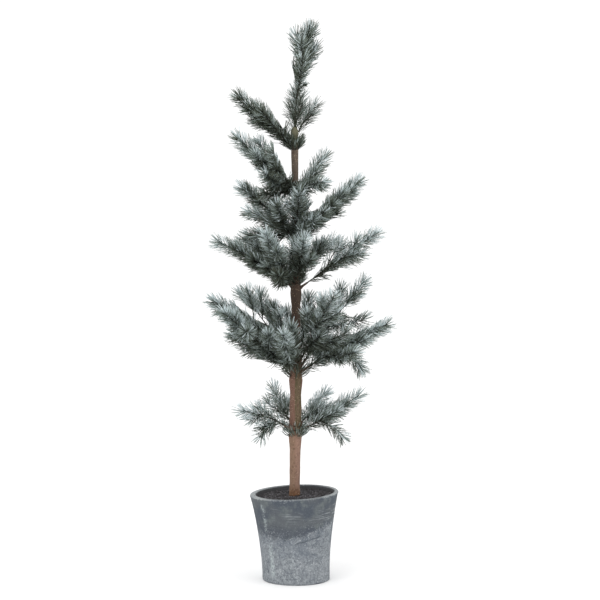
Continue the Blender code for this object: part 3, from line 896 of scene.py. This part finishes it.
def cracks(skin, colour):
    """Dark sloping hairlines where the skin has crept."""
    height = skin.axes()[2] - (skin.noise(80, 4) - 0.5) * 0.006
    for azimuth, middle, slope, reach, thick in CRACKS:
        aside, outward = skin.seen_from(azimuth)
        line = abs(height - middle - aside * slope).step(thick * 0.4, thick * 1.6, 0.65, 0)
        share = line * abs(aside).step(reach * 0.6, reach, 1, 0) * outward.step(0, 0.01)
        colour = skin.mix(share, colour, (66, 71, 78))
    return colour


def fill_finish():
    """Dark crumbly fill."""
    skin = Finish("dark_fill", linear(56, 55, 57), 0.95, 0.15)
    grain = skin.noise(500, 5, 0.7)
    colour = skin.layers(
        skin.mix(grain, (34, 33, 35), (92, 90, 92)),
        (skin.noise(210), 0.46, 0.60, 0, 0.75, (36, 34, 36)),
        (skin.noise(190, 4), 0.54, 0.64, 0, 0.6, (122, 120, 124)),
        (skin.cells(380), 0.12, 0.24, 0.35, 0, (112, 96, 84)),
    )
    return skin.finished(grain.step(0.3, 0.7, 0.85, 1), colour, (grain, 0.0012, 0.8))


def tape_finish():
    """Olive-green floral tape."""
    skin = Finish("olive_tape", linear(88, 86, 66), 0.6)
    creases = skin.noise(1, 4, 0.6, (300, 300, 900))
    colour = skin.mix(creases, (76, 75, 58), (112, 109, 88))
    return skin.finished(creases.step(0.3, 0.7, 0.5, 0.75), colour, (creases, 0.0005, 0.6))


# --- the pot and its fill ---


def pot_radius(height):
    """The outside of the wall, without its rounded edges."""
    return POT_BASE_RADIUS + (POT_RIM_RADIUS - POT_BASE_RADIUS) * (height / POT_HEIGHT) ** POT_FLARE


def out_of_true(spot):
    """Leans the pot sideways as it rises, and tilts its top."""
    tilted = max(0.0, spot.z - TILT_FOOT) / (POT_HEIGHT - TILT_FOOT)
    return Vector((spot.x + POT_LEAN * spot.z / POT_HEIGHT, spot.y, spot.z + RIM_TILT * spot.x * tilted))


def fan(middle, first, sides, under=False):
    """Triangles from a middle vertex to a ring of them, facing up or, where it is under them, down."""
    ring = [(first + side, first + (side + 1) % sides) for side in range(sides)]
    return [(middle, end, start) if under else (middle, start, end) for start, end in ring]


def arc(radius, height, size, start, end):
    """Points (radius, height) on a quarter turn round a centre, from one angle to another in degrees."""
    found = []
    for step in range(EDGE_ROWS + 1):
        angle = math.radians(start + (end - start) * step / EDGE_ROWS)
        found.append((radius + size * math.cos(angle), height + size * math.sin(angle)))
    return found


def pot_outline():
    """The wall's section from the underside's rim, up the outside, over the rim and down the inside."""
    outline = arc(POT_BASE_RADIUS - POT_EDGE, POT_EDGE, POT_EDGE, -90, 0)
    low, high = POT_EDGE, POT_HEIGHT - POT_EDGE
    for row in range(1, WALL_ROWS):
        height = low + (high - low) * row / WALL_ROWS
        outline.append((pot_radius(height), height))
    outline += arc(POT_RIM_RADIUS - POT_EDGE, high, POT_EDGE, 0, 90)
    outline += arc(POT_RIM_RADIUS - POT_WALL + POT_EDGE, high, POT_EDGE, 90, 180)
    floor = FILL_TOP - 4 * FILL_CROWN
    for row in range(1, INNER_ROWS + 1):
        height = high + (floor - high) * row / INNER_ROWS
        outline.append((pot_radius(height) - POT_WALL, height))
    return outline


def pot_relief(place):
    """How far the weathered skin stands in or out of the true wall."""
    swell = 0.00045 * rough(place, 0.040, 3)
    waves = 0.00022 * rough((place.x * 0.3, place.y * 0.3, place.z), 0.0035, 5)
    pits = -0.00035 * max(0.0, rough(place, 0.0045, 7) - 0.25)
    grain = 0.00012 * rough(place, 0.0016, 11)
    chips = 0.0
    near_edge = max(0.0, 1 - min(place.z, POT_HEIGHT - place.z) / 0.006)
    if near_edge:
        chips = -0.0014 * near_edge * max(0.0, rough(place, 0.009, 13) - 0.3)
    return swell + waves + pits + grain + chips


def add_pot(finish):
    outline = pot_outline()
    places = []
    for index, (radius, height) in enumerate(outline):
        inward = outline[min(index + 1, len(outline) - 1)][1] < outline[max(index - 1, 0)][1]
        for side in range(POT_SIDES):
            angle = 2 * math.pi * side / POT_SIDES
            out = Vector((math.cos(angle), math.sin(angle), 0))
            place = out * radius + Vector((0, 0, height))
            place += out * pot_relief(place) * (-0.5 if inward else 1.0)
            if inward:
                place.x += OPENING_ASIDE
            places.append(out_of_true(place))
    last = (len(outline) - 1) * POT_SIDES
    faces = grid_faces(len(outline), POT_SIDES)
    faces += fan(len(places), 0, POT_SIDES, under=True) + fan(len(places) + 1, last, POT_SIDES)
    places += [Vector((0, 0, 0)), out_of_true(Vector((0, 0, outline[-1][1])))]
    return mesh_object("pot_wall", [(places, faces)], finish)


def fill_height(x, y):
    """The uneven surface of the fill."""
    radius = math.hypot(x, y)
    crown = FILL_TOP - FILL_CROWN * (radius / POT_RIM_RADIUS) ** 2
    return crown + 0.0009 * rough((x, y, 0), 0.012, 17) + 0.0006 * rough((x, y, 0), 0.004, 19)


def add_fill(finish):
    """The fill's crumbly top: an uneven disc with loose grains pressed into it."""
    edge = pot_radius(FILL_TOP) - POT_WALL + 0.0006
    places = []
    for row in range(1, FILL_RINGS + 1):
        for side in range(FILL_SIDES):
            angle = 2 * math.pi * side / FILL_SIDES
            x, y = (edge * row / FILL_RINGS * turn for turn in (math.cos(angle), math.sin(angle)))
            places.append(out_of_true(Vector((x + OPENING_ASIDE, y, fill_height(x, y)))))
    faces = [tuple(reversed(face)) for face in grid_faces(FILL_RINGS, FILL_SIDES)]
    rim = (FILL_RINGS - 1) * FILL_SIDES
    faces += fan(len(places), 0, FILL_SIDES) + fan(len(places) + 1, rim, FILL_SIDES, under=True)
    places += [out_of_true(Vector((0, 0, height))) for height in (FILL_TOP, FILL_TOP - 3 * FILL_CROWN)]
    shapes = [(places, faces)]
    chance = random.Random(7)
    for _ in range(GRAINS):
        angle, radius = chance.uniform(0, 2 * math.pi), edge * math.sqrt(chance.random()) * 0.985
        x, y = radius * math.cos(angle), radius * math.sin(angle)
        size = chance.uniform(*GRAIN_SIZES) * chance.uniform(0.6, 1.0)
        centre = out_of_true(Vector((x + OPENING_ASIDE, y, fill_height(x, y) + size * 0.2)))
        if math.hypot(x - TRUNK_X, y) >= TRUNK_RADII[0][1]:
            shapes.append(grain(chance, centre, size))
    return mesh_object("fill_top", shapes, finish)


GOLDEN = (1 + 5**0.5) / 2
GRAIN_CORNERS = [
    Vector(corner).normalized()
    for a in (-1, 1)
    for b in (-GOLDEN, GOLDEN)
    for corner in ((0, a, b), (a, b, 0), (b, 0, a))
]


def grain_shape():
    """The faces of an icosahedron on GRAIN_CORNERS: every three corners that are all neighbours."""
    edge = 2 / math.hypot(1, GOLDEN) * 1.01
    faces = []
    for a, b, c in combinations(range(len(GRAIN_CORNERS)), 3):
        first, second, third = (GRAIN_CORNERS[corner] for corner in (a, b, c))
        if max((first - second).length, (second - third).length, (third - first).length) < edge:
            out = (second - first).cross(third - first).dot(first) > 0
            faces.append((a, b, c) if out else (a, c, b))
    return faces


GRAIN_FACES = grain_shape()


def grain(chance, centre, size):
    """One lump of fill."""
    flat = Vector((chance.uniform(0.7, 1.3), chance.uniform(0.7, 1.3), chance.uniform(0.5, 0.9)))
    turn = Matrix.Rotation(chance.uniform(0, math.pi), 3, "Z")
    places = []
    for corner in GRAIN_CORNERS:
        spot = corner * size * chance.uniform(0.8, 1.15)
        places.append(centre + turn @ Vector((spot.x * flat.x, spot.y * flat.y, spot.z * flat.z)))
    return places, GRAIN_FACES


# --- bark and wire ---


def trunk_relief(place, angle, index):
    """Wrapped bark: low ridges along the trunk, a fine grain, and small warts."""
    ridges = 0.00016 * rough((place.x, place.y, place.z * 0.12), 0.0022, 23)
    swell = 0.00022 * rough(place, 0.014, 29)
    grain_height = 0.00009 * rough(place, 0.0011, 31)
    warts = 0.00045 * max(0.0, rough((place.x, place.y, place.z * 0.7), 0.0036, 37) - 0.35)
    return ridges + swell + grain_height + warts


def add_trunk(finish):
    foot, top = TRUNK_FOOT - TRUNK_SUNK, TRUNK_TOP - 0.0006
    line = [trunk_centre(foot + (top - foot) * ring / (TRUNK_RINGS - 1)) for ring in range(TRUNK_RINGS)]
    radii = [trunk_radius(max(centre.z, TRUNK_FOOT)) + float(np.interp(centre.z, *WRAP)) for centre in line]
    return mesh_object("trunk_bark", [closed_tube(line, radii, TRUNK_SIDES, trunk_relief)], finish)


def add_limbs(lines, finish):
    """The bare feet of the boughs, thicker where they leave the trunk, with bark like the trunk's."""
    shapes = []

    def relief(place, angle, index):
        return trunk_relief(place, angle, index) * 0.7

    for bough in BOUGHS:
        if not bough.limb:
            continue
        stem = subdivided(lines[bough.name][0], LIMB_SPACING)
        inside = stem[0] - (stem[1] - stem[0]).normalized() * 0.003
        line = [inside] + stem[: round(LIMB_LENGTH / LIMB_SPACING)]
        radii = []
        for index in range(len(line)):
            along = index / (len(line) - 1)
            collar = 0.0009 * math.exp(-((along * 5) ** 2))
            radii.append(LIMB_RADIUS + (WIRE_RADIUS * 1.15 - LIMB_RADIUS) * along + collar)
        shapes.append(closed_tube(line, radii, LIMB_SIDES, relief))
    return mesh_object("bough_bark", shapes, finish)


def add_wires(lines, finish):
    """Every stem and twig as a tapering wire wrapped in tape."""
    shapes = []
    for bough in BOUGHS:
        for index, line in enumerate(lines[bough.name]):
            fine = length_of(line) < FINE_LONGEST
            thick = WIRE_RADIUS * (0.6 if fine else 0.75 if index else 1)
            line = subdivided(line, WIRE_SPACING)
            shares = [1 - step / (len(line) - 1) for step in range(len(line))]
            radii = [WIRE_TIP_RADIUS + (thick - WIRE_TIP_RADIUS) * share for share in shares]
            shapes.append(closed_tube(line, radii, WIRE_SIDES))
    return mesh_object("twig_wires", shapes, finish)


def add_tape(finish):
    """The tape that binds the leader to the trunk's top, wound in a few overlapping turns into a knob."""
    line, radii = [], []
    for ring in range(TAPE_RINGS):
        height = TAPE_LOW + (TAPE_HIGH - TAPE_LOW) * ring / (TAPE_RINGS - 1)
        line.append(trunk_centre(height))
        shrink = max(0.0, height - TRUNK_TOP) / (TAPE_HIGH - TRUNK_TOP)
        bulge = 0.0006 + 0.0010 * math.exp(-(((height - KNOB_HEIGHT) / KNOB_REACH) ** 2))
        radii.append((trunk_radius(min(height, TRUNK_TOP)) + bulge) * (1 - 0.72 * shrink**4))

    def relief(place, angle, index):
        wound = (index / (TAPE_RINGS - 1) * TAPE_TURNS + angle / (2 * math.pi)) % 1
        return 0.0003 * wound + 0.00012 * rough(place, 0.0018, 41)

    return mesh_object("leader_tape", [closed_tube(line, radii, TAPE_SIDES, relief)], finish)


# --- needles ---

# One needle is three rings of three and a point: where they lie along it, and how wide each ring is
RING_SHARES = (0.0, 0.45, 0.88, 1)
RING_WIDTHS = (0.75, 1.0, 0.75)
NEEDLE_FACES = [(0, 2, 1), (0, 1, 4, 3), (1, 2, 5, 4), (2, 0, 3, 5)]
NEEDLE_FACES += [(3, 4, 7, 6), (4, 5, 8, 7), (5, 3, 6, 8), (6, 7, 9), (7, 8, 9), (8, 6, 9)]
NEEDLE_CORNERS = np.concatenate([np.array(face) for face in NEEDLE_FACES])
NEEDLE_STARTS = np.cumsum([0] + [len(face) for face in NEEDLE_FACES[:-1]])
NEEDLE_TRIANGLES = sum(len(face) - 2 for face in NEEDLE_FACES)
# How much paler than its spray's tone each face is: the root is greener than the frosted outer part
FACE_TONES = np.array([-1] + [-0.8] * 3 + [0.1] * 3 + [-0.5] * 3)
UPPER_FROST = 1.1  # how much paler a face that looks up is than one that looks sideways
NEEDLE_POINTS = 10


# Arrays with a row for each needle: its root, its twig's direction, its own outward direction, the angles
# between it and the twig at its root and at its tip, its length and its tone
Needles = namedtuple("Needles", "place ahead out root_angle tip_angle length tone")


def turned(ahead, out, angle):
    """The directions at these angles from ahead towards out."""
    return ahead * np.cos(angle)[:, None] + out * np.sin(angle)[:, None]


def frames_along(line, at):
    """Places, directions and two sideways vectors at these lengths along a line, as arrays."""
    points = np.array(line)
    steps = np.diff(points, axis=0)
    sizes = np.linalg.norm(steps, axis=1)
    travelled = np.concatenate([[0], np.cumsum(sizes)])
    ways = steps / sizes[:, None]
    ways = np.vstack([ways[:1], (ways[:-1] + ways[1:]) / 2, ways[-1:]])
    place, ahead = (np.stack([np.interp(at, travelled, rows) for rows in of.T], 1) for of in (points, ways))
    ahead /= np.linalg.norm(ahead, axis=1)[:, None]
    across = np.cross((0.0, 0.0, 1.0), ahead)
    across /= np.linalg.norm(across, axis=1)[:, None]
    return place, ahead, across, np.cross(ahead, across)


def needles_on(bough, stem, line, bare, chance):
    """The needles of one twig past its bare stretch."""
    total = length_of(line)
    count = max(6, int((total - bare) / (NEEDLE_PITCH * bough.spaced)))
    at = bare + (total - bare) * np.sort(chance.random(count))
    at[-TUFT_NEEDLES:] = total - TUFT_LENGTH - TUFT_LENGTH * chance.random(min(TUFT_NEEDLES, count))
    place, ahead, across, over = frames_along(line, at)
    turn = np.cumsum(np.full(count, math.radians(GOLDEN_TURN))) + chance.normal(0, 0.35, count)
    turn %= 2 * math.pi
    near_tip = np.clip(1 - (total - at) / TIP_TUFT, 0, 1)
    fanned = 1 - near_tip * chance.uniform(0, 0.9, count)
    root_angle = np.radians(chance.uniform(*ROOT_ANGLES, count)) * fanned
    tip_angle = np.radians(chance.uniform(*TIP_ANGLES, count)) * fanned
    near_foot = np.clip(1 - (at - bare) / FOOT_LENGTH, 0, 1)
    length = NEEDLE_LENGTH * chance.uniform(*NEEDLE_SPREAD, count)
    length *= (1 - 0.3 * near_foot) * (1 - 0.12 * near_tip)
    if bough.name == "leader":
        length *= 1 - 0.62 * np.exp(-(((place[:, 2] - WAIST) / WAIST_DEPTH) ** 2))
    quarter = (turn / (math.pi / 2)).astype(int)
    spray = (at / SPRAY_LENGTH).astype(int) * 4 + quarter
    luck = chance.normal(0, SPRAY_LUCK, spray.max() + 1)[spray]
    middle = (quarter + 0.5) * math.pi / 2
    upward = across[:, 2] * np.cos(middle) + over[:, 2] * np.sin(middle)
    tone = TONE_MIDDLE + TONE_UPWARD * upward + TONE_ALONG * (at / total - 0.5) + luck
    tone += frost_and_shade_at(bough, stem, place)
    return Needles(place, ahead, turned(across, over, turn), root_angle, tip_angle, length, tone)


def frost_and_shade_at(bough, stem, place):
    """The frost and painted shade of these places on a bough: paler far from the trunk and above the stem,
    with painted shade in the core near the trunk and on twigs under the stem.
    """
    away = np.linalg.norm(place - (TRUNK_X, 0, bough.height), axis=1)
    reach = np.minimum(away / bough.length, REACH_MOST) - REACH_MIDDLE
    # frost here includes painted shade: the reach term darkens the shaded core near the trunk
    frost = TONE_FROST * bough.frost + np.interp(bough.height, *REACH_FROST_AND_SHADE) * reach
    if bough.name == "leader":
        return frost
    stem_out = [math.hypot(point.x - TRUNK_X, point.y) for point in stem]
    above = place[:, 2] - np.interp(out_from_trunk(place), stem_out, [point.z for point in stem])
    # painted shade on needles under the stem, more frost on those above it
    return frost + TONE_ABOVE * np.clip(above / ABOVE_FULL, -1, 1)


def out_from_trunk(place):
    return np.hypot(place[:, 0] - TRUNK_X, place[:, 1])


def in_gap(places):
    """Which places the camera sees in one of the gaps between the boughs."""
    camera = np.array(CAMERA_PLACE)
    seen = camera + (places - camera) * (camera[1] / (camera[1] - places[:, 1]))[:, None]
    found = np.zeros(len(places), bool)
    for *ends, half_width in GAPS:
        start, end = np.array(ends).reshape(2, 2)
        along = end - start
        off = seen[:, [0, 2]] - start
        nearest = np.clip(off @ along / (along @ along), 0, 1)
        found |= np.linalg.norm(off - nearest[:, None] * along, axis=1) < half_width
    return found


def in_trunk(places):
    """Which places are in the trunk or on its skin."""
    away = np.hypot(places[:, 0] - TRUNK_X - TRUNK_BOW / 2, places[:, 1])
    skin = np.interp(places[:, 2], *zip(*TRUNK_RADII)) + 0.0008
    return (away <= skin) & (places[:, 2] <= TRUNK_TOP)


def clear(needles):
    """Which needles stay out of the trunk and out of the gaps."""
    place, ahead, out, root_angle, tip_angle, length, _ = needles
    kept = np.ones(len(place), bool)
    way = turned(ahead, out, root_angle)
    for share in (0.35, 0.7, 1.0):
        kept &= ~in_trunk(place + way * (length * share)[:, None])
    way = turned(ahead, out, (root_angle + tip_angle) / 2)
    for share in (0.0, 0.5, 1.0):
        kept &= ~in_gap(place + way * (length * share)[:, None])
    return kept


def needle_places(needles, chance, share_of_width=1.0):
    """The vertices of every needle, as an array of needles by vertices by axes."""
    centre, ahead, out, root_angle, tip_angle, length, _ = needles
    count = len(centre)
    side = np.cross(ahead, out)
    width = NEEDLE_WIDTH * chance.uniform(0.8, 1.15, count) * share_of_width
    made = np.empty((count, NEEDLE_POINTS, 3))
    bend = tip_angle - root_angle
    previous = 0.0
    for ring, share in enumerate(RING_SHARES):
        way = turned(ahead, out, root_angle + bend * ((share + previous) / 2))
        centre = centre + way * (length * (share - previous))[:, None]
        previous = share
        if share == 1:
            made[:, -1] = centre
            break
        normal = turned(out, -ahead, root_angle + bend * share)
        half = (width * RING_WIDTHS[ring] / 2)[:, None]
        made[:, 3 * ring] = centre + side * half + normal * half * NEEDLE_SHARE
        made[:, 3 * ring + 1] = centre - normal * half * 2 * NEEDLE_SHARE
        made[:, 3 * ring + 2] = centre - side * half + normal * half * NEEDLE_SHARE
    return made


def collar_needles(whorl):
    """The needles on the trunk itself where a whorl leaves it: their vertices and their tones."""
    low, high, count, tone = COLLARS[whorl]
    chance = np.random.default_rng(COLLAR_SEED + int(whorl[-1]))
    heights = low + (high - low) * chance.random(count)
    turn = chance.uniform(0, 2 * math.pi, count)
    out = np.stack([np.cos(turn), np.sin(turn), np.zeros(count)], 1)
    radii = np.array([trunk_radius(height) for height in heights])
    place = np.array([trunk_centre(height) for height in heights]) + out * (radii - 0.0004)[:, None]
    ahead = np.tile((0.0, 0.0, 1.0), (count, 1))
    root_angle = np.radians(chance.uniform(45, 80, count))
    tip_angle = np.radians(chance.uniform(20, 45, count))
    length = NEEDLE_LENGTH * chance.uniform(0.6, 0.9, count)
    made = needle_places(Needles(place, ahead, out, root_angle, tip_angle, length, None), chance)
    return made, tone + chance.normal(0, 1.0, count)


def bough_needles(bough, lines):
    """A bough's needles: their vertices and their tones."""
    chance = np.random.default_rng(NEEDLE_SEED + bough.seed + round(bough.height * 1000))
    made, tones = [], []
    for index, line in enumerate(lines):
        grown = needles_on(bough, lines[0], line, 0.002 if index else bough.bare, chance)
        kept = clear(grown)
        if bough.name == "leader":
            kept &= (grown.place[:, 2] > WAIST) | (chance.random(len(kept)) < LEADER_OPEN)
        if bough.height < OPEN_BELOW:
            share = (out_from_trunk(grown.place) - OPEN_NEAR) / OPEN_WIDTH
            kept &= chance.random(len(kept)) < np.clip(share, OPEN_LEAST, 1)
        grown = Needles(*(rows[kept] for rows in grown))
        thin = (grown.place[:, 2] < WAIST) & (bough.name in THIN_BOUGHS)
        made.append(needle_places(grown, chance, np.where(thin, THINNER, 1.0)))
        tone = grown.tone + TWIG_FROST.get((bough.name, index), 0)
        # needles below the waist on THIN_BOUGHS get painted shade
        tones.append(tone + chance.normal(0, NEEDLE_LUCK, len(tone)) + THIN_PAINTED_SHADE * thin)
    return np.concatenate(made), np.concatenate(tones)


def add_needles(lines, finishes):
    """One piece for each whorl's needles, or two where one would be too large, with the boughs in each."""
    groups = {}
    for bough in BOUGHS:
        groups.setdefault(bough.name.split("_")[0], []).append(bough)
    pieces = []
    for whorl, boughs in groups.items():
        batches, size = [[]], 0
        if whorl in COLLARS:
            batches[0].append(("", *collar_needles(whorl)))
        for bough in boughs:
            places, tones = bough_needles(bough, lines[bough.name])
            if size + len(places) * NEEDLE_TRIANGLES > MOST_TRIANGLES:
                batches.append([])
                size = 0
            batches[-1].append((bough.name, places, tones))
            size += len(places) * NEEDLE_TRIANGLES
        for number, batch in enumerate(batches, 1):
            names, places, tones = zip(*batch)
            name = f"{whorl}_needles" + (f"_{number}" if len(batches) > 1 else "")
            piece = needle_piece(name, np.concatenate(places), np.concatenate(tones), finishes)
            pieces.append((piece, [name for name in names if name]))
    return pieces


def facing_up(places):
    """How far each face of each needle looks up, from -1 to 1."""
    slopes = []
    for face in NEEDLE_FACES:
        first, second, third = (places[:, corner] for corner in face[:3])
        normal = np.cross(second - first, third - first)
        slopes.append(normal[:, 2] / (np.linalg.norm(normal, axis=1) + 1e-12))
    return np.stack(slopes, 1)


def needle_piece(name, places, tones, finishes):
    firsts = np.arange(len(places))[:, None]
    corners = (NEEDLE_CORNERS + NEEDLE_POINTS * firsts).ravel()
    starts = (NEEDLE_STARTS + len(NEEDLE_CORNERS) * firsts).ravel()
    shades = np.round(tones[:, None] + FACE_TONES + UPPER_FROST * facing_up(places))
    shades = np.clip(shades, 0, len(finishes) - 1).astype(int).ravel()
    return array_object(name, places.reshape(-1, 3), corners, starts, finishes, shades)


# --- the studio ---


def add_camera():
    data = bpy.data.cameras.new("camera")
    data.sensor_width = CAMERA_SENSOR
    data.lens = CAMERA_LENS
    data.clip_end = 200
    camera = placed("camera", data, CAMERA_PLACE)
    camera.rotation_euler = (math.radians(90 - CAMERA_PITCH), 0, 0)
    bpy.context.scene.camera = camera


def add_light(name, place, size, power):
    data = bpy.data.lights.new(name, "AREA")
    data.shape = "DISK"
    data.size = size
    data.energy = power
    aim = Vector((0, 0, 0.4)) - Vector(place)
    placed(name, data, place).rotation_euler = aim.to_track_quat("-Z", "Y").to_euler()


def add_studio():
    """A white floor that runs out of sight, an even white sky, and two large soft lamps."""
    corners = [Vector((FLOOR_HALF * x, FLOOR_HALF * y, 0)) for x, y in ((-1, -1), (1, -1), (1, 1), (-1, 1))]
    finish = Finish("studio_floor", (0.9, 0.9, 0.9), 0.9, 0.0)
    mesh_object("studio_floor", [(corners, [(0, 1, 2, 3)])], finish.material)
    world = bpy.data.worlds.new("studio")
    world.use_nodes = True
    sky = world.node_tree.nodes["Background"]
    sky.inputs["Color"].default_value = (1, 1, 1, 1)
    sky.inputs["Strength"].default_value = 1.2
    bpy.context.scene.world = world
    add_light("key", (-1.2, -2.2, 2.6), 2.2, 26)
    add_light("fill", (2.0, -1.6, 1.6), 2.0, 10)
    bpy.context.scene.view_settings.view_transform = "Standard"


def main():
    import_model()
    add_camera()
    add_studio()
    space, lines = grow_lines()
    for name, index in LEFT_OUT:
        del lines[name][index]
    carry_on(space, lines)
    bark = bark_finish()
    limbs = ["bough_" + bough.name for bough in BOUGHS if bough.limb]
    made = [
        (add_pot(pot_finish()), "pot", ["pot"]),
        (add_fill(fill_finish()), "fill", ["pot_fill"]),
        (add_trunk(bark), "bark", ["trunk"]),
        (add_limbs(lines, bark), "bark", limbs),
        (add_wires(lines, wire_finish()), "bark", []),
        (add_tape(tape_finish()), "bark", []),
    ]
    finishes = [needle_finish(name, colour) for name, colour in NEEDLE_TONES]
    for piece, boughs in add_needles(lines, finishes):
        made.append((piece, "needles", ["needles_" + name for name in boughs]))
    for piece, slot, nodes in made:
        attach(piece, "root")
        if nodes:
            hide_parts(*nodes)


main()
